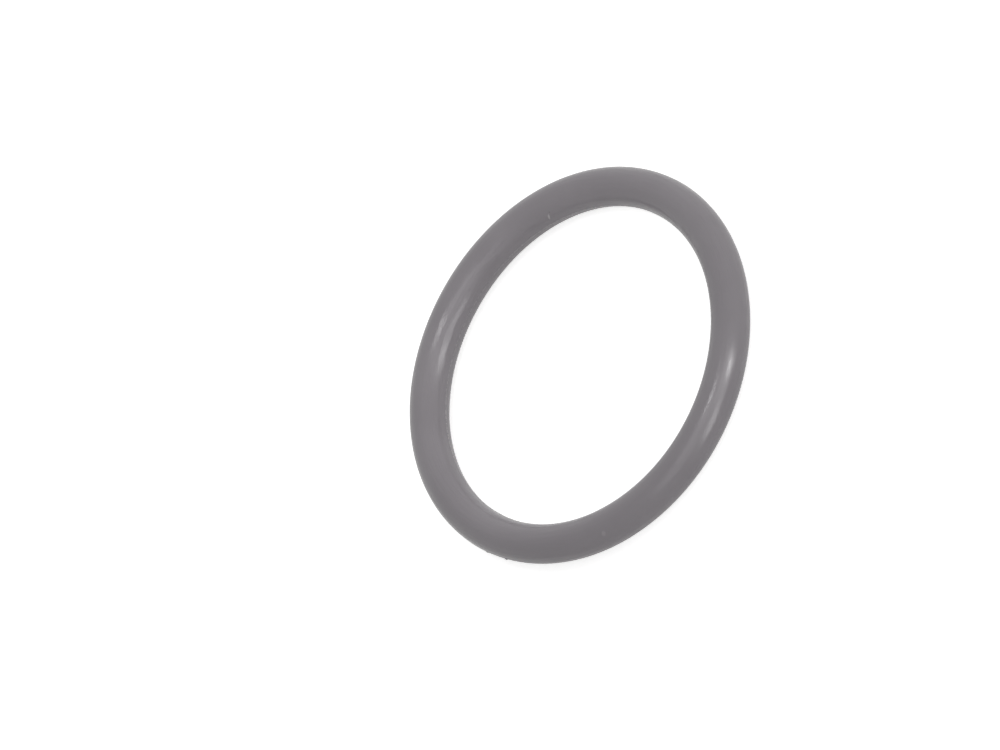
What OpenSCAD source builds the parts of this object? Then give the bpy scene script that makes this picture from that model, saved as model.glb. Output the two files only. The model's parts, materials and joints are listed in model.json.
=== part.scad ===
// Moulded rubber o-ring: one round section, swept in a circle about the Z axis.
// It lies flat, with its centre at the origin and its axis along +Z.
// The two halves of the mould meet on the plane z = 0, so the section carries the trace of the
// parting line on its inner and outer sides, where the flash was trimmed to a low flat land.

/* [Ring] */
// Inside diameter of the relaxed ring, across the bare round section
inside_d = 20.8; // [6:0.1:60]
// Diameter of the round section
section_d = 2.4; // [1:0.1:6]

/* [Parting line] */
// Width of the trimmed land, measured along the ring's axis
land_w = 0.1; // [0.06:0.02:0.3]
// Height of the trimmed land above the round section
land_h = 0.02; // [0.01:0.01:0.1]

/* [Hidden] */
// Radius of the circle that the section's centre follows
centreline_r = (inside_d + section_d) / 2;
// Sides of the drawn circle of the ring, and of its section
ring_sides = 180;
section_sides = 60;

// The ring's cut section, centred on the origin: the moulded round, and a bar on the parting
// plane whose two ends are the inner and the outer land.
module moulded_section() {
    circle(d = section_d, $fn = section_sides);
    square([section_d + 2 * land_h, land_w], center = true);
}

module o_ring() {
    color("dimgray")
        rotate_extrude($fn = ring_sides)
            translate([centreline_r, 0])
                moulded_section();
}

o_ring();
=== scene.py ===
# Moulded rubber o-ring, lying flat on a pale studio floor.
# Lengths are in metres. The ring's axis is +Z, and its parting plane is z = 0.
import json
import math

import bpy
from bpy.props import FloatProperty, FloatVectorProperty, IntProperty, PointerProperty
from mathutils import Matrix, Vector, noise


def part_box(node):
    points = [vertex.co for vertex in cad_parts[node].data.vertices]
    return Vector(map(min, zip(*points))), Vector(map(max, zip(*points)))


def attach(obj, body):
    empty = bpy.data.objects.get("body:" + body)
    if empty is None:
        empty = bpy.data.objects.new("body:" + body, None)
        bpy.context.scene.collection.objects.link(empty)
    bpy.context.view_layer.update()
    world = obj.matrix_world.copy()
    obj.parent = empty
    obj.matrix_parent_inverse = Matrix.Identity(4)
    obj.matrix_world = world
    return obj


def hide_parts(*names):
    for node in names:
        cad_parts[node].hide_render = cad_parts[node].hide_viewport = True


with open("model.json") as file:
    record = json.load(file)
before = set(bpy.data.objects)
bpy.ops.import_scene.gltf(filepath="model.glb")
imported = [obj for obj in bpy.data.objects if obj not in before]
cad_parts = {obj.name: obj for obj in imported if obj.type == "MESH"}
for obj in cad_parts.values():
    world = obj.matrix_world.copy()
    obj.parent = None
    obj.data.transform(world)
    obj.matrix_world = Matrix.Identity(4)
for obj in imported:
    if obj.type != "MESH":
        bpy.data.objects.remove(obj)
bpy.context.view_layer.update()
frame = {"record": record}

bl_info = {
    "name": "Moulded O-Ring",
    "version": (1, 0, 0),
    "blender": (4, 5, 0),
    "location": "View3D > Sidebar > O-Ring",
    "description": "Builds a moulded rubber o-ring and the studio that it lies in",
    "category": "Add Mesh",
}

MM = 0.001
NODE = "o_ring"
BODY = "root"

# The photograph's frame, and the places in it that settle the camera
IMAGE_PX = (1000, 750)
RING_CENTRE_PX = (579.6, 365.3)
CENTRELINE_R_PX = 188.8
SENSOR_WIDTH = 36 * MM


def mount_length(name, dimension):
    """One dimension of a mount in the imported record, in metres."""
    mount = next(m for m in frame["record"]["mounts"] if m["name"] == name)
    return mount["dims"][dimension] * MM


LOW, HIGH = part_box(NODE)
SECTION_R = (HIGH.z - LOW.z) / 2
INNER_LAND_R = mount_length("shaft_side", "r_mm")
OUTER_LAND_R = mount_length("housing_side", "r_mm")
CENTRELINE_R = (INNER_LAND_R + OUTER_LAND_R) / 2
LAND_WIDTH = mount_length("housing_side", "length_mm")
LAND_HEIGHT = OUTER_LAND_R - CENTRELINE_R - SECTION_R


class RingSizes(bpy.types.PropertyGroup):
    """Sizes of the ring, and how far it strays from a perfect one."""

    centreline_radius: FloatProperty(
        name="Centreline Radius",
        description="Radius of the circle that the section's centre follows",
        default=CENTRELINE_R, min=2 * MM, unit="LENGTH", precision=5)
    section_radius: FloatProperty(
        name="Section Radius",
        description="Radius of the round section",
        default=SECTION_R, min=0.5 * MM, unit="LENGTH", precision=5)
    land_width: FloatProperty(
        name="Land Width",
        description="Width of the trimmed land on the parting line, along the ring's axis",
        default=LAND_WIDTH, min=0.02 * MM, unit="LENGTH", precision=5)
    land_height: FloatProperty(
        name="Land Height",
        description="Mean height of the trimmed land above the round section",
        default=LAND_HEIGHT, min=0, unit="LENGTH", precision=5)
    land_raggedness: FloatProperty(
        name="Land Raggedness",
        description="Share by which the land's height and width stray from their mean",
        default=0.4, min=0, max=1, subtype="FACTOR")
    inner_buffing: FloatProperty(
        name="Inner Buffing",
        description="Share of the inner land's height that buffing took off",
        default=0.65, min=0, max=1, subtype="FACTOR")
    outer_buffing: FloatProperty(
        name="Outer Buffing",
        description="Share of the outer land's height that buffing took off",
        default=0.85, min=0, max=1, subtype="FACTOR")
    swell: FloatProperty(
        name="Swell",
        description="Share by which the section is fuller than its nominal size",
        default=0.022, min=-0.03, max=0.03, subtype="FACTOR")
    swell_sway: FloatProperty(
        name="Swell Sway",
        description="Share by which the swell grows on one side and shrinks on the other",
        default=0.014, min=0, max=0.03, subtype="FACTOR")
    swell_turn: FloatProperty(
        name="Swell Turn",
        description="Angle round the ring of its fullest section",
        default=math.radians(95), subtype="ANGLE")
    out_of_round: FloatProperty(
        name="Out Of Round",
        description="How far the three high places of the ring lie outside its mean circle",
        default=0.037 * MM, min=0, unit="LENGTH", precision=5)
    out_of_round_turn: FloatProperty(
        name="Out Of Round Turn",
        description="Angle round the ring of the first high place",
        default=math.radians(14.8), subtype="ANGLE")
    waviness: FloatProperty(
        name="Waviness",
        description="Height of the shallow waves that moulding leaves in the skin",
        default=0.006 * MM, min=0, unit="LENGTH", precision=6)
    wave_length: FloatProperty(
        name="Wave Length",
        description="Length of the shallow waves in the skin",
        default=3 * MM, min=0.5 * MM, unit="LENGTH", precision=5)
    ring_steps: IntProperty(
        name="Ring Steps",
        description="Number of stations round the ring",
        default=1200, min=60, max=1400)
    arc_steps: IntProperty(
        name="Arc Steps",
        description="Number of faces across each half of the round section",
        default=28, min=8, max=32)


class RubberFinish(bpy.types.PropertyGroup):
    """Colours and surface of the rubber."""

    rubber: FloatVectorProperty(
        name="Rubber",
        description="Colour of the bare rubber",
        default=(0.235, 0.218, 0.234), min=0, max=1, size=3, subtype="COLOR")
    bloom: FloatVectorProperty(
        name="Bloom",
        description="Colour of the thin waxy bloom that rises to the skin in patches",
        default=(0.247, 0.23, 0.246), min=0, max=1, size=3, subtype="COLOR")
    trimmed: FloatVectorProperty(
        name="Trimmed",
        description="Colour of the torn rubber along the inner land",
        default=(0.262, 0.246, 0.26), min=0, max=1, size=3, subtype="COLOR")
    dust: FloatVectorProperty(
        name="Dust",
        description="Colour of a pale fleck of dust",
        default=(0.42, 0.405, 0.41), min=0, max=1, size=3, subtype="COLOR")
    pit: FloatVectorProperty(
        name="Pit",
        description="Colour of a dark pit in the skin",
        default=(0.10, 0.095, 0.10), min=0, max=1, size=3, subtype="COLOR")
    roughness: FloatProperty(
        name="Roughness",
        description="Roughness of the clean moulded skin",
        default=0.2, min=0, max=1, subtype="FACTOR")
    bloom_roughness: FloatProperty(
        name="Bloom Roughness",
        description="Roughness that the bloom adds to the skin",
        default=0.02, min=0, max=1, subtype="FACTOR")
    handling_roughness: FloatProperty(
        name="Handling Roughness",
        description="Roughness that handling adds to the far part of the inner wall",
        default=0.04, min=0, max=1, subtype="FACTOR")
    mirroring: FloatProperty(
        name="Mirroring",
        description="Specular level of the skin, where 0.5 is that of clean rubber",
        default=0.35, min=0, max=1, subtype="FACTOR")
    trimmed_roughness: FloatProperty(
        name="Trimmed Roughness",
        description="Roughness of the trimmed land",
        default=0.35, min=0, max=1, subtype="FACTOR")
    dusting: FloatProperty(
        name="Dusting",
        description="Weight of the sheen that fine dust gives the skin where it is seen edge-on",
        default=0.36, min=0, max=1, subtype="FACTOR")
    dusting_roughness: FloatProperty(
        name="Dusting Roughness",
        description="Roughness of the fine dust's sheen",
        default=0.4, min=0, max=1, subtype="FACTOR")


class StudioSettings(bpy.types.PropertyGroup):
    """The camera's stand, the floor, and the light."""

    field_of_view: FloatProperty(
        name="Field Of View",
        description="Angle that the long lens takes in across the picture",
        default=math.radians(4), subtype="ANGLE")
    camera_elevation: FloatProperty(
        name="Camera Elevation",
        description="Angle at which the camera looks down on the ring",
        default=math.radians(46.5), subtype="ANGLE")
    camera_roll: FloatProperty(
        name="Camera Roll",
        description="Clockwise turn of the camera about its own line of sight",
        default=math.radians(62.2), subtype="ANGLE")
    floor_size: FloatProperty(
        name="Floor Size",
        description="Side of the square floor",
        default=12, min=1, unit="LENGTH")
    paper: FloatVectorProperty(
        name="Paper",
        description="Colour of the floor",
        default=(0.95, 0.95, 0.94), min=0, max=1, size=3, subtype="COLOR")
    surround: FloatProperty(
        name="Surround",
        description="Brightness of the even light from all round, where 1 is white",
        default=0.88, min=0, max=2)
    surround_lean: FloatVectorProperty(
        name="Surround Lean",
        description="Share by which the even light grows toward each axis",
        default=(0.42, -0.33, -0.5), min=-1, max=1, size=3, subtype="XYZ")
    camera_lift: FloatProperty(
        name="Camera Lift",
        description="Brightness that the floor gains for the camera alone, to read as white",
        default=0.66, min=0, max=2)
    reflected_lift: FloatProperty(
        name="Reflected Lift",
        description="Brightness that the floor gains in reflections, so that they show it white",
        default=0.15, min=0, max=2)


def noise_round(turn, radius, length, seed):
    """Smooth noise from -1 to 1 along a circle, which meets itself after a full turn."""
    reach = radius / length
    return noise.noise(Vector((reach * math.cos(turn), reach * math.sin(turn), seed)))


# Remnants of flash that stand out of the outer land: place round the ring, height, half length
FLASH_NIBS = (
    (math.radians(182.2), 0.035 * MM, 0.14 * MM),
    (math.radians(189.8), 0.075 * MM, 0.13 * MM),
)
# Length of the lands' rags, how far their height strays for each share of their width, and where
# the noise of each land starts
RAG_LENGTH = 0.5 * MM
RAG_HEIGHT_RATIO = 2
INNER_SEED = 3.7
OUTER_SEED = 8.2
# Number of high places round the ring
LOBES = 3


def ring_radius(sizes, turn):
    """Radius of the section's centre at one place round the ring."""
    lobe_turn = LOBES * (turn - sizes.out_of_round_turn)
    return sizes.centreline_radius + sizes.out_of_round * math.cos(lobe_turn)


def section_radius(sizes, turn):
    """Radius of the round section at one place round the ring."""
    swell = sizes.swell + sizes.swell_sway * math.cos(turn - sizes.swell_turn)
    return sizes.section_radius * (1 + swell)


def nib_height(sizes, turn):
    """How far a flash nib stands out of the outer land at one place round the ring."""
    outer_radius = sizes.centreline_radius + sizes.section_radius
    heights = [
        height * max(0, 1 - abs(turn - place) * outer_radius / half_length)
        for place, height, half_length in FLASH_NIBS
    ]
    return max(heights)


def land_shape(sizes, turn, radius, buffing, seed):
    """Half width and height of a trimmed land at one place round the ring."""
    rag = sizes.land_raggedness
    mean_height = sizes.land_height * (1 - buffing)
    height_noise = RAG_HEIGHT_RATIO * noise_round(turn, radius, RAG_LENGTH, seed)
    width_noise = noise_round(turn, radius, RAG_LENGTH, -seed)
    height = mean_height * (1 + rag * height_noise)
    width = sizes.land_width * (1 + rag * width_noise)
    return width / 2, max(height, 0)


def arc_points(radius, start, stop, steps):
    """Points (out, up) on the round section from one section angle to another."""
    angles = [start + (stop - start) * i / steps for i in range(steps + 1)]
    return [(radius * math.cos(a), radius * math.sin(a)) for a in angles]


def section_outline(sizes, turn):
    """Closed outline (out, up) of the section at one place round the ring."""
    radius = section_radius(sizes, turn)
    outer_half, outer_height = land_shape(
        sizes, turn, OUTER_LAND_R, sizes.outer_buffing, OUTER_SEED)
    inner_half, inner_height = land_shape(
        sizes, turn, INNER_LAND_R, sizes.inner_buffing, INNER_SEED)
    outer_height += nib_height(sizes, turn)
    outer_foot = math.asin(outer_half / radius)
    inner_foot = math.pi - math.asin(inner_half / radius)
    upper = arc_points(radius, outer_foot, inner_foot, sizes.arc_steps)
    lower = arc_points(radius, -inner_foot, -outer_foot, sizes.arc_steps)
    inner_out = -radius - inner_height
    outer_out = radius + outer_height
    inner_land = [(inner_out, inner_half / 2), (inner_out, 0), (inner_out, -inner_half / 2)]
    outer_land = [(outer_out, -outer_half / 2), (outer_out, 0), (outer_out, outer_half / 2)]
    return upper + inner_land + lower + outer_land


def skin_wave(sizes, point):
    """Height of the shallow moulding waves at a point of the skin."""
    return sizes.waviness * noise.noise(point / sizes.wave_length)


def station_points(sizes, turn):
    """Points of the ring's skin at one place round the ring. Its underside keeps to one level."""
    outward = Vector((math.cos(turn), math.sin(turn), 0))
    upward = Vector((0, 0, 1))
    rise = section_radius(sizes, turn) - sizes.section_radius
    centre = ring_radius(sizes, turn) * outward + rise * upward
    points = []
    for out, up in section_outline(sizes, turn):
        offset = out * outward + up * upward
        wave = skin_wave(sizes, centre + offset)
        points.append(centre + offset + wave * offset.normalized())
    return points


def ring_mesh(sizes):
    """The ring's skin as one closed mesh of four-sided faces."""
    steps = sizes.ring_steps
    points = []
    for i in range(steps):
        points += station_points(sizes, 2 * math.pi * i / steps)
    count = len(points) // steps
    faces = []
    for i in range(steps):
        here = i * count
        beyond = (i + 1) % steps * count
        for j in range(count):
            k = (j + 1) % count
            faces.append((here + j, beyond + j, beyond + k, here + k))
    mesh = bpy.data.meshes.new(NODE + "_skin")
    mesh.from_pydata(points, [], faces)
    mesh.validate()
    return mesh


def add_object(name, data):
    """A new object in the scene."""
    added = bpy.data.objects.new(name, data)
    bpy.context.scene.collection.objects.link(added)
    return added


def add_node(tree, kind, place, **settings):
    """A shader node, with its settings and its place in the tree's drawing."""
    node = tree.nodes.new(kind)
    node.location = place
    for name, value in settings.items():
        setattr(node, name, value)
    return node


def feed(tree, node, socket, source):
    """Gives an input socket its source: another node's output, or a plain value."""
    if isinstance(source, bpy.types.NodeSocket):
        tree.links.new(source, node.inputs[socket])
    else:
        node.inputs[socket].default_value = source


def calculate(tree, operation, place, *sources):
    """The output of a math node."""
    node = add_node(tree, "ShaderNodeMath", place, operation=operation)
    for i, source in enumerate(sources):
        feed(tree, node, i, source)
    return node.outputs[0]


# Sockets of a mix node by the kind that it blends: what lies below, what lies above, and the result
MIX_SOCKETS = {"FLOAT": (2, 3, 0), "RGBA": (6, 7, 2)}


def blend(tree, kind, place, amount, below, above):
    """The output of a mix node that blends numbers or colours."""
    below_socket, above_socket, result_socket = MIX_SOCKETS[kind]
    node = add_node(tree, "ShaderNodeMix", place, data_type=kind)
    feed(tree, node, "Factor", amount)
    feed(tree, node, below_socket, below)
    feed(tree, node, above_socket, above)
    return node.outputs[result_socket]


def soft_step(tree, place, value, low, high):
    """1 at low and beyond it, 0 at high and beyond it, and a smooth change between."""
    node = add_node(
        tree, "ShaderNodeMapRange", place, interpolation_type="SMOOTHSTEP")
    feed(tree, node, "Value", value)
    feed(tree, node, "From Min", low)
    feed(tree, node, "From Max", high)
    node.inputs["To Min"].default_value = 1
    node.inputs["To Max"].default_value = 0
    return node.outputs[0]


def noise_texture(tree, place, point, scale, detail):
    """The value of a noise texture at a point, from 0 to 1."""
    node = add_node(tree, "ShaderNodeTexNoise", place)
    feed(tree, node, "Vector", point)
    feed(tree, node, "Scale", scale)
    feed(tree, node, "Detail", detail)
    return node.outputs["Fac"]


def distance_from_axis(tree, place, x, y):
    """The distance of a point from the ring's axis."""
    left, height = place
    square_x = calculate(tree, "MULTIPLY", place, x, x)
    square = calculate(tree, "MULTIPLY_ADD", (left + 150, height), y, y, square_x)
    return calculate(tree, "SQRT", (left + 300, height), square)


def new_group(name, inputs, outputs):
    """An empty shader node group with named sockets, its input node and its output node."""
    tree = bpy.data.node_groups.new(name, "ShaderNodeTree")
    for label, kind, default in inputs:
        socket = tree.interface.new_socket(label, in_out="INPUT", socket_type=kind)
        socket.default_value = default
    for label, kind in outputs:
        tree.interface.new_socket(label, in_out="OUTPUT", socket_type=kind)
    source = add_node(tree, "NodeGroupInput", (-900, 0))
    result = add_node(tree, "NodeGroupOutput", (700, 0))
    return tree, source.outputs, result


FLOAT = "NodeSocketFloat"
VECTOR = "NodeSocketVector"

# Detail of the noise in each effect
MARK_DETAIL = 2
GRAIN_DETAIL = 3
BLOOM_DETAIL = 4
RAG_DETAIL = 2

# Noise over which the inner land is torn, and under which it is whole
TORN_NOISE = 0.62
WHOLE_NOISE = 0.42
# Distances from a spot's centre, as shares of its half size, where its fade starts and ends
SPOT_FADE = (0.5, 1.2)


def turning_marks_group():
    """Marks that run round the ring, fine for a turned mould's and wide for the flow's streaks."""
    tree, given, result = new_group(
        "Mould Turning Marks",
        [("Centreline Radius", FLOAT, CENTRELINE_R), ("Section Radius", FLOAT, SECTION_R),
         ("Mark Width", FLOAT, 0.06 * MM), ("Mark Length", FLOAT, 4 * MM)],
        [("Height", FLOAT)])
    place = add_node(tree, "ShaderNodeTexCoord", (-900, 300)).outputs["Object"]
    split = add_node(tree, "ShaderNodeSeparateXYZ", (-700, 300))
    tree.links.new(place, split.inputs[0])
    x, y, z = split.outputs
    turn = calculate(tree, "ARCTAN2", (-500, 400), y, x)
    from_axis = distance_from_axis(tree, (-500, 250), x, y)
    out = calculate(tree, "SUBTRACT", (-50, 250), from_axis, given["Centreline Radius"])
    section_turn = calculate(tree, "ARCTAN2", (100, 250), z, out)
    across = calculate(tree, "MULTIPLY", (250, 250), section_turn, given["Section Radius"])
    across = calculate(tree, "DIVIDE", (400, 250), across, given["Mark Width"])
    reach = calculate(tree, "DIVIDE", (-350, 0), given["Centreline Radius"], given["Mark Length"])
    cosine = calculate(tree, "COSINE", (-350, 500), turn)
    sine = calculate(tree, "SINE", (-350, 650), turn)
    along_x = calculate(tree, "MULTIPLY", (-150, 500), cosine, reach)
    along_y = calculate(tree, "MULTIPLY", (-150, 650), sine, reach)
    joined = add_node(tree, "ShaderNodeCombineXYZ", (100, 500))
    for i, source in enumerate((along_x, along_y, across)):
        tree.links.new(source, joined.inputs[i])
    grooves = noise_texture(tree, (400, 500), joined.outputs[0], 1, MARK_DETAIL)
    tree.links.new(grooves, result.inputs["Height"])
    return tree


def skin_grain_group():
    """Fine grain of a moulded skin."""
    tree, given, result = new_group(
        "Skin Grain",
        [("Grain Size", FLOAT, 0.08 * MM)],
        [("Height", FLOAT)])
    place = add_node(tree, "ShaderNodeTexCoord", (-900, 300)).outputs["Object"]
    scale = calculate(tree, "DIVIDE", (-700, 0), 1, given["Grain Size"])
    grain = noise_texture(tree, (-300, 200), place, scale, GRAIN_DETAIL)
    tree.links.new(grain, result.inputs["Height"])
    return tree


def bloom_group():
    """Soft patches of bloom on the skin."""
    tree, given, result = new_group(
        "Rubber Bloom",
        [("Patch Size", FLOAT, 4 * MM), ("Low", FLOAT, 0.35), ("High", FLOAT, 0.7)],
        [("Mask", FLOAT)])
    place = add_node(tree, "ShaderNodeTexCoord", (-900, 300)).outputs["Object"]
    scale = calculate(tree, "DIVIDE", (-700, 0), 1, given["Patch Size"])
    cloud = noise_texture(tree, (-400, 200), place, scale, BLOOM_DETAIL)
    mask = soft_step(tree, (0, 200), cloud, given["High"], given["Low"])
    tree.links.new(mask, result.inputs["Mask"])
    return tree


def trim_line_group():
    """The torn inner land along the parting line: up to 1 on its rags, 0 on the round section."""
    tree, given, result = new_group(
        "Trim Line",
        [("Land Width", FLOAT, LAND_WIDTH), ("Fade", FLOAT, 0.03 * MM),
         ("Centreline Radius", FLOAT, CENTRELINE_R), ("Rag Length", FLOAT, 0.25 * MM)],
        [("Mask", FLOAT)])
    place = add_node(tree, "ShaderNodeTexCoord", (-900, 300)).outputs["Object"]
    split = add_node(tree, "ShaderNodeSeparateXYZ", (-700, 300))
    tree.links.new(place, split.inputs[0])
    x, y, z = split.outputs
    from_plane = calculate(tree, "ABSOLUTE", (-500, 300), z)
    foot = calculate(tree, "MULTIPLY", (-500, 100), given["Land Width"], 0.5)
    edge = calculate(tree, "ADD", (-300, 100), foot, given["Fade"])
    land = soft_step(tree, (-100, 300), from_plane, foot, edge)
    from_axis = distance_from_axis(tree, (-500, 500), x, y)
    inner = calculate(tree, "LESS_THAN", (100, 500), from_axis, given["Centreline Radius"])
    scale = calculate(tree, "DIVIDE", (-500, -100), 1, given["Rag Length"])
    rags = noise_texture(tree, (-300, -100), place, scale, RAG_DETAIL)
    torn = soft_step(tree, (-100, -100), rags, TORN_NOISE, WHOLE_NOISE)
    mask = calculate(tree, "MULTIPLY", (300, 300), land, inner)
    mask = calculate(tree, "MULTIPLY", (500, 200), mask, torn)
    tree.links.new(mask, result.inputs["Mask"])
    return tree


def spot_group():
    """One soft spot: 1 inside it, 0 outside."""
    tree, given, result = new_group(
        "Soft Spot",
        [("Centre", VECTOR, (0, 0, 0)), ("Half Size", VECTOR, (MM, MM, MM))],
        [("Mask", FLOAT)])
    place = add_node(tree, "ShaderNodeTexCoord", (-900, 300)).outputs["Object"]
    away = add_node(tree, "ShaderNodeVectorMath", (-600, 200), operation="SUBTRACT")
    tree.links.new(place, away.inputs[0])
    tree.links.new(given["Centre"], away.inputs[1])
    share = add_node(tree, "ShaderNodeVectorMath", (-400, 200), operation="DIVIDE")
    tree.links.new(away.outputs[0], share.inputs[0])
    tree.links.new(given["Half Size"], share.inputs[1])
    length = add_node(tree, "ShaderNodeVectorMath", (-200, 200), operation="LENGTH")
    tree.links.new(share.outputs[0], length.inputs[0])
    mask = soft_step(tree, (0, 200), length.outputs["Value"], *SPOT_FADE)
    tree.links.new(mask, result.inputs["Mask"])
    return tree


def place_group(tree, group, place, **values):
    """A group placed in a material, with its own values."""
    node = add_node(tree, "ShaderNodeGroup", place, node_tree=group)
    for name, value in values.items():
        node.inputs[name.replace("_", " ").title()].default_value = value
    return node.outputs


def skin_point(sizes, turn, section_turn):
    """A point of the skin, by its angle round the ring and its angle round the section."""
    from_axis = sizes.centreline_radius + sizes.section_radius * math.cos(section_turn)
    return Vector((
        from_axis * math.cos(turn),
        from_axis * math.sin(turn),
        sizes.section_radius * math.sin(section_turn)))


# Flecks on the skin: turn round the ring, turn round the section, half size, colour's name, and
# how much of that colour they show
FLECKS = (
    (math.radians(46.2), math.radians(152.2), (0.22 * MM, 0.055 * MM, 0.22 * MM), "dust", 0.8),
    (math.radians(45.1), math.radians(139.5), (0.08 * MM, 0.06 * MM, 0.08 * MM), "pit", 0.8),
    (math.radians(227.5), math.radians(46.2), (0.2 * MM, 0.14 * MM, 0.2 * MM), "dust", 0.2),
)

# Height of the fine turning marks, and those of the grain and of the shallow streaks that the
# rubber's flow leaves along the ring, as multiples of it
MARK_HEIGHT = 0.0012 * MM
GRAIN_WEIGHT = 0.6
STREAK_WEIGHT = 24
STREAK_WIDTH = 0.22 * MM
STREAK_LENGTH = 2.5 * MM

# The patch of the skin that handling has dulled, and the one that came out smoother than the rest:
# turn round the ring, turn round the section, half size
HANDLED_PATCH = (math.radians(100), math.radians(160), (7 * MM, 3.5 * MM, 0.55 * MM))
SMOOTH_PATCH = (math.radians(284), math.radians(55), (8 * MM, 4 * MM, 2.5 * MM))
# Share of the streaks' height that is missing in the smooth patch
SMOOTHING = 0.85

# Angle between two faces above which the edge between them is drawn sharp
SHARP_ANGLE = math.radians(50)


def spot_mask(tree, spot_tree, place, sizes, turn, section_turn, half_size):
    """The mask of a soft spot round one point of the skin."""
    centre = skin_point(sizes, turn, section_turn)
    return place_group(tree, spot_tree, place, centre=centre, half_size=half_size)["Mask"]


def rgba(colour):
    """A colour with full alpha."""
    return (*colour, 1)


def skin_colour(tree, sizes, finish, bloom, trim, spot_tree):
    """Colour of the rubber with its bloom, its torn inner land and its flecks."""
    colour = blend(tree, "RGBA", (-1100, 500), bloom, rgba(finish.rubber), rgba(finish.bloom))
    colour = blend(tree, "RGBA", (-900, 500), trim, colour, rgba(finish.trimmed))
    for i, (turn, section_turn, half_size, name, amount) in enumerate(FLECKS):
        left = -900 + 200 * i
        mask = spot_mask(tree, spot_tree, (left, 800), sizes, turn, section_turn, half_size)
        share = calculate(tree, "MULTIPLY", (left + 100, 650), mask, amount)
        fleck = rgba(getattr(finish, name))
        colour = blend(tree, "RGBA", (left + 200, 500), share, colour, fleck)
    return colour


def skin_roughness(tree, sizes, finish, bloom, trim, spot_tree):
    """Roughness of the skin with its bloom, its handled patch and its torn inner land."""
    handled = spot_mask(tree, spot_tree, (-1400, 50), sizes, *HANDLED_PATCH)
    rough = calculate(
        tree, "MULTIPLY_ADD", (-1100, 100), bloom, finish.bloom_roughness, finish.roughness)
    rough = calculate(
        tree, "MULTIPLY_ADD", (-900, 100), handled, finish.handling_roughness, rough)
    return blend(tree, "FLOAT", (-600, 100), trim, rough, finish.trimmed_roughness)


def skin_height(tree, sizes, spot_tree):
    """Height of the turning marks, the grain and the flow streaks together."""
    marks_tree = turning_marks_group()
    marks = place_group(tree, marks_tree, (-1600, -200))["Height"]
    streaks = place_group(
        tree, marks_tree, (-1600, -600),
        mark_width=STREAK_WIDTH, mark_length=STREAK_LENGTH)["Height"]
    smooth = spot_mask(tree, spot_tree, (-1600, -800), sizes, *SMOOTH_PATCH)
    streak_weight = calculate(
        tree, "MULTIPLY_ADD", (-1200, -800), smooth, -SMOOTHING * STREAK_WEIGHT, STREAK_WEIGHT)
    grain = place_group(tree, skin_grain_group(), (-1600, -400))["Height"]
    height = calculate(tree, "MULTIPLY_ADD", (-1000, -200), grain, GRAIN_WEIGHT, marks)
    return calculate(tree, "MULTIPLY_ADD", (-800, -200), streaks, streak_weight, height)


def rubber_material(sizes, finish):
    """Satin moulded rubber with bloom, fine marks, a torn inner land and a few flecks."""
    material = bpy.data.materials.new("Moulded Rubber")
    material.use_nodes = True
    tree = material.node_tree
    shader = tree.nodes["Principled BSDF"]
    spot_tree = spot_group()
    bloom = place_group(tree, bloom_group(), (-1400, 500))["Mask"]
    trim = place_group(tree, trim_line_group(), (-1400, 300), land_width=sizes.land_width)["Mask"]
    colour = skin_colour(tree, sizes, finish, bloom, trim, spot_tree)
    tree.links.new(colour, shader.inputs["Base Color"])
    rough = skin_roughness(tree, sizes, finish, bloom, trim, spot_tree)
    tree.links.new(rough, shader.inputs["Roughness"])
    bump = add_node(tree, "ShaderNodeBump", (-600, -200))
    tree.links.new(skin_height(tree, sizes, spot_tree), bump.inputs["Height"])
    bump.inputs["Strength"].default_value = 1
    bump.inputs["Distance"].default_value = MARK_HEIGHT
    tree.links.new(bump.outputs[0], shader.inputs["Normal"])
    shader.inputs["Specular IOR Level"].default_value = finish.mirroring
    shader.inputs["Sheen Weight"].default_value = finish.dusting
    shader.inputs["Sheen Roughness"].default_value = finish.dusting_roughness
    return material


class ORING_OT_build_ring(bpy.types.Operator):
    """Build the ring with its trimmed parting line, in satin rubber"""

    bl_idname = "oring.build_ring"
    bl_label = "Build Ring"

    def execute(self, context):
        sizes = context.scene.oring_sizes
        finish = context.scene.oring_finish
        ring = add_object("moulded_ring", ring_mesh(sizes))
        ring.data.shade_smooth()
        ring.data.set_sharp_from_angle(angle=SHARP_ANGLE)
        ring.data.materials.append(rubber_material(sizes, finish))
        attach(ring, BODY)
        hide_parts(NODE)
        return {"FINISHED"}


# Brightness that renders as pure white
WHITE = 1.0


def reflected_ray(tree, place, path):
    """1 for the rays that see a backdrop by reflection or refraction."""
    return calculate(tree, "MAXIMUM", place, path["Is Glossy Ray"], path["Is Transmission Ray"])


def paper_material(studio):
    """Pale floor that reads as white where nothing shades it, and is clear from below."""
    material = bpy.data.materials.new("Studio Paper")
    material.use_nodes = True
    tree = material.node_tree
    shader = tree.nodes["Principled BSDF"]
    shader.inputs["Base Color"].default_value = rgba(studio.paper)
    shader.inputs["Roughness"].default_value = 1
    shader.inputs["Specular IOR Level"].default_value = 0
    path = add_node(tree, "ShaderNodeLightPath", (-1000, -200)).outputs
    reflected = reflected_ray(tree, (-800, -300), path)
    lift = calculate(tree, "MULTIPLY", (-600, -300), reflected, studio.reflected_lift)
    lift = calculate(
        tree, "MULTIPLY_ADD", (-400, -200), path["Is Camera Ray"], studio.camera_lift, lift)
    shader.inputs["Emission Color"].default_value = (1, 1, 1, 1)
    tree.links.new(lift, shader.inputs["Emission Strength"])
    below = add_node(tree, "ShaderNodeNewGeometry", (-600, 100)).outputs["Backfacing"]
    solid = calculate(tree, "SUBTRACT", (-400, 100), 1, below)
    tree.links.new(solid, shader.inputs["Alpha"])
    return material


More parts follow.
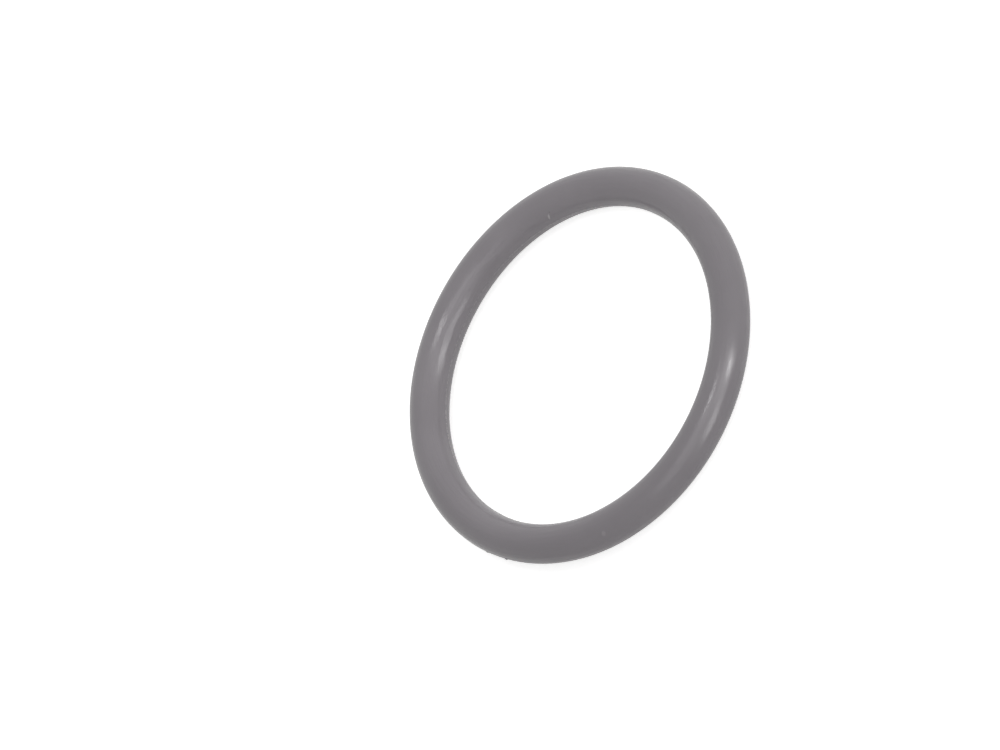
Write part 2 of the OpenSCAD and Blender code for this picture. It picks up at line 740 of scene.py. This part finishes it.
def set_world(context, studio):
    """Even light from all round, which the camera and reflections see as white."""
    world = bpy.data.worlds.new("Even Surround")
    context.scene.world = world
    world.use_nodes = True
    tree = world.node_tree
    background = tree.nodes["Background"]
    background.inputs["Color"].default_value = (1, 1, 1, 1)
    path = add_node(tree, "ShaderNodeLightPath", (-800, 0)).outputs
    reflected = reflected_ray(tree, (-600, -100), path)
    seen = calculate(tree, "MAXIMUM", (-400, 0), path["Is Camera Ray"], reflected)
    toward = add_node(tree, "ShaderNodeTexCoord", (-1000, 300)).outputs["Generated"]
    lean = add_node(tree, "ShaderNodeVectorMath", (-800, 300), operation="DOT_PRODUCT")
    feed(tree, lean, 0, toward)
    feed(tree, lean, 1, studio.surround_lean)
    light = calculate(
        tree, "MULTIPLY_ADD", (-600, 300),
        lean.outputs["Value"], studio.surround, studio.surround)
    level = blend(tree, "FLOAT", (-200, 0), seen, light, WHITE)
    tree.links.new(level, background.inputs["Strength"])


# Lamps: name, distance from the ring, azimuth from +X and elevation of the centre, angular width
# and height, twist from upright, and brightness, where 1 is as bright as white paper
MIRRORED_LAMPS = (
    ("key_window", 1500 * MM, -51.5, 23.2, 3.5, 40.5, 8.0, 8.0),
    ("key_core", 72 * MM, -58.0, 23.0, 5.6, 18.5, 8.3, 11.6),
    ("key_wing", 60 * MM, -64.9, 27.8, 21.6, 39.5, 7.7, 2.1),
    ("side_strip", 86 * MM, -84.5, 18.0, 14.0, 24.5, 6.4, 4.7),
    ("ceiling_tube", 860 * MM, -36.5, 79.6, 3.7, 17.5, 41.0, 13.8),
    ("ceiling_wing", 1500 * MM, -103.2, 55.5, 31.9, 38.0, 95, 1.0),
    ("ceiling_glow", 290 * MM, -66.0, 67.3, 46.0, 18.0, 47, 1.15),
)
FILL_LAMP = ("overhead_fill", 38 * MM, 90, 69, 43, 43, 0, 1.0)

# Where the camera stands round the ring, and the nearest and farthest distance that it draws, as
# shares of its distance from the ring
CAMERA_AZIMUTH = math.radians(-90)
CLIP_SHARES = (0.01, 20)


def direction(azimuth, elevation):
    """Unit vector that points to an azimuth from +X and an elevation above the floor."""
    return Vector((
        math.cos(elevation) * math.cos(azimuth),
        math.cos(elevation) * math.sin(azimuth),
        math.sin(elevation)))


def add_lamp(name, distance, azimuth, elevation, width, height, twist, brightness):
    """An area lamp that faces the ring. Angles are in degrees."""
    data = bpy.data.lights.new(name, "AREA")
    data.shape = "RECTANGLE"
    data.size = 2 * distance * math.tan(math.radians(width) / 2)
    data.size_y = 2 * distance * math.tan(math.radians(height) / 2)
    data.energy = math.pi * data.size * data.size_y * brightness
    lamp = add_object(name, data)
    toward = direction(math.radians(azimuth), math.radians(elevation))
    facing = toward.to_track_quat("Z", "Y").to_matrix().to_4x4()
    turned = facing @ Matrix.Rotation(-math.radians(twist), 4, "Z")
    lamp.matrix_world = Matrix.Translation(distance * toward) @ turned
    lamp.visible_camera = False
    return lamp


def add_camera(context, sizes, studio):
    """A long lens at the photograph's angle, with the ring at its place in the frame."""
    data = bpy.data.cameras.new("camera")
    data.sensor_width = SENSOR_WIDTH / MM
    data.angle = studio.field_of_view
    focal_px = IMAGE_PX[0] / 2 / math.tan(studio.field_of_view / 2)
    distance = sizes.centreline_radius * focal_px / CENTRELINE_R_PX
    metres_per_px = sizes.centreline_radius / CENTRELINE_R_PX
    back = direction(CAMERA_AZIMUTH, studio.camera_elevation)
    level = back.to_track_quat("Z", "Y").to_matrix()
    turned = Matrix.Rotation(-studio.camera_roll, 3, back) @ level
    right = turned.col[0]
    up = turned.col[1]
    ring_right = (RING_CENTRE_PX[0] - IMAGE_PX[0] / 2) * metres_per_px
    ring_up = (IMAGE_PX[1] / 2 - RING_CENTRE_PX[1]) * metres_per_px
    camera = add_object("camera", data)
    camera.matrix_world = Matrix.Translation(
        distance * back - ring_right * right - ring_up * up) @ turned.to_4x4()
    data.clip_start = distance * CLIP_SHARES[0]
    data.clip_end = distance * CLIP_SHARES[1]
    context.scene.camera = camera


def floor_mesh(sizes, studio):
    """A square of paper at the level of the ring's underside."""
    half = studio.floor_size / 2
    level = -sizes.section_radius
    sides = ((-half, -half), (half, -half), (half, half), (-half, half))
    corners = [(x, y, level) for x, y in sides]
    mesh = bpy.data.meshes.new("floor")
    mesh.from_pydata(corners, [], [(0, 1, 2, 3)])
    mesh.materials.append(paper_material(studio))
    return mesh


class ORING_OT_build_stage(bpy.types.Operator):
    """Build the floor, the lamps, the surround and the camera"""

    bl_idname = "oring.build_stage"
    bl_label = "Build Stage"

    def execute(self, context):
        sizes = context.scene.oring_sizes
        studio = context.scene.oring_studio
        add_object("floor", floor_mesh(sizes, studio))
        for lamp in MIRRORED_LAMPS:
            add_lamp(*lamp).visible_diffuse = False
        add_lamp(*FILL_LAMP).visible_glossy = False
        set_world(context, studio)
        add_camera(context, sizes, studio)
        context.scene.view_settings.view_transform = "Standard"
        return {"FINISHED"}


class ORING_PT_panel(bpy.types.Panel):
    """The ring's sizes, finish and studio, and the steps that build them"""

    bl_idname = "ORING_PT_panel"
    bl_label = "Moulded O-Ring"
    bl_space_type = "VIEW_3D"
    bl_region_type = "UI"
    bl_category = "O-Ring"

    def draw(self, context):
        scene = context.scene
        self.layout.operator(ORING_OT_build_ring.bl_idname)
        self.layout.operator(ORING_OT_build_stage.bl_idname)
        for heading, settings in (
                ("Sizes", scene.oring_sizes),
                ("Finish", scene.oring_finish),
                ("Studio", scene.oring_studio)):
            box = self.layout.box()
            box.label(text=heading)
            for name in settings.__annotations__:
                box.prop(settings, name)


CLASSES = (
    RingSizes,
    RubberFinish,
    StudioSettings,
    ORING_OT_build_ring,
    ORING_OT_build_stage,
    ORING_PT_panel,
)


def register():
    for cls in CLASSES:
        bpy.utils.register_class(cls)
    bpy.types.Scene.oring_sizes = PointerProperty(type=RingSizes)
    bpy.types.Scene.oring_finish = PointerProperty(type=RubberFinish)
    bpy.types.Scene.oring_studio = PointerProperty(type=StudioSettings)


def unregister():
    del bpy.types.Scene.oring_studio
    del bpy.types.Scene.oring_finish
    del bpy.types.Scene.oring_sizes
    for cls in reversed(CLASSES):
        bpy.utils.unregister_class(cls)


def main():
    """Builds the ring and its stage."""
    register()
    bpy.ops.oring.build_ring()
    bpy.ops.oring.build_stage()


if __name__ == "__main__":
    main()
